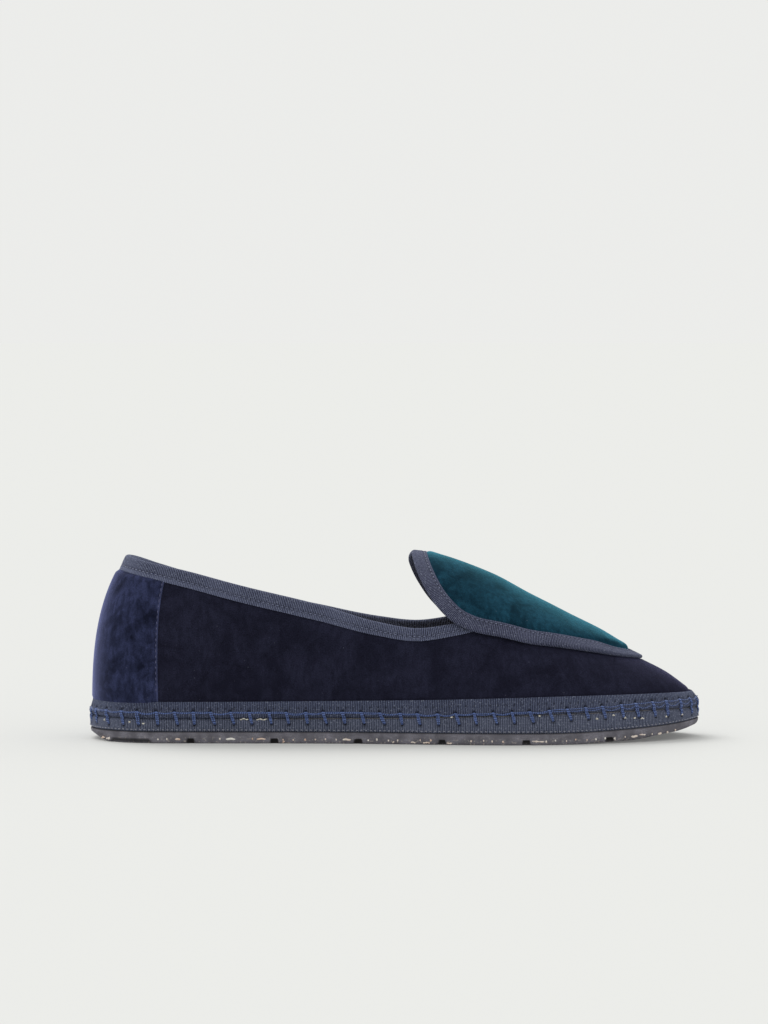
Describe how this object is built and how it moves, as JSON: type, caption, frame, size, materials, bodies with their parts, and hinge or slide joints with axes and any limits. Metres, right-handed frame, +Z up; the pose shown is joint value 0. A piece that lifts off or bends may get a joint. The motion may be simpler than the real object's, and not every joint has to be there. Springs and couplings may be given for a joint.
{
  "type": "velvet slipper loafer",
  "caption": "Soft velvet slipper loafer with a contrasting vamp and tongue, tape-bound edges, a hand-sewn band round the sole and a flat rubber outsole, standing empty.",
  "frame": {"origin": "on the floor, under the middle of the shoe's length and width", "axes": "+X to the toe, +Y to the medial (inner) side, +Z up"},
  "size_m": [0.254, 0.0854, 0.0796],
  "materials": {
    "rubber": "matt, with pale flecks",
    "core": "matt layered textile",
    "tape": "matt ribbed tape",
    "lining": "matt plain cotton",
    "navy_velvet": "velvet nap",
    "heel_velvet": "velvet nap, brushed lighter",
    "teal_velvet": "velvet nap with sheen"
  },
  "bodies": {
    "root": {"outsole": "rubber", "midsole": "core", "sole_tape": "tape", "edge_tape": "tape", "insole": "lining", "upper": "navy_velvet", "heel_panel": "heel_velvet", "collar_binding": "tape", "vamp": "teal_velvet", "vamp_binding": "tape"}
  },
  "joints": []
}
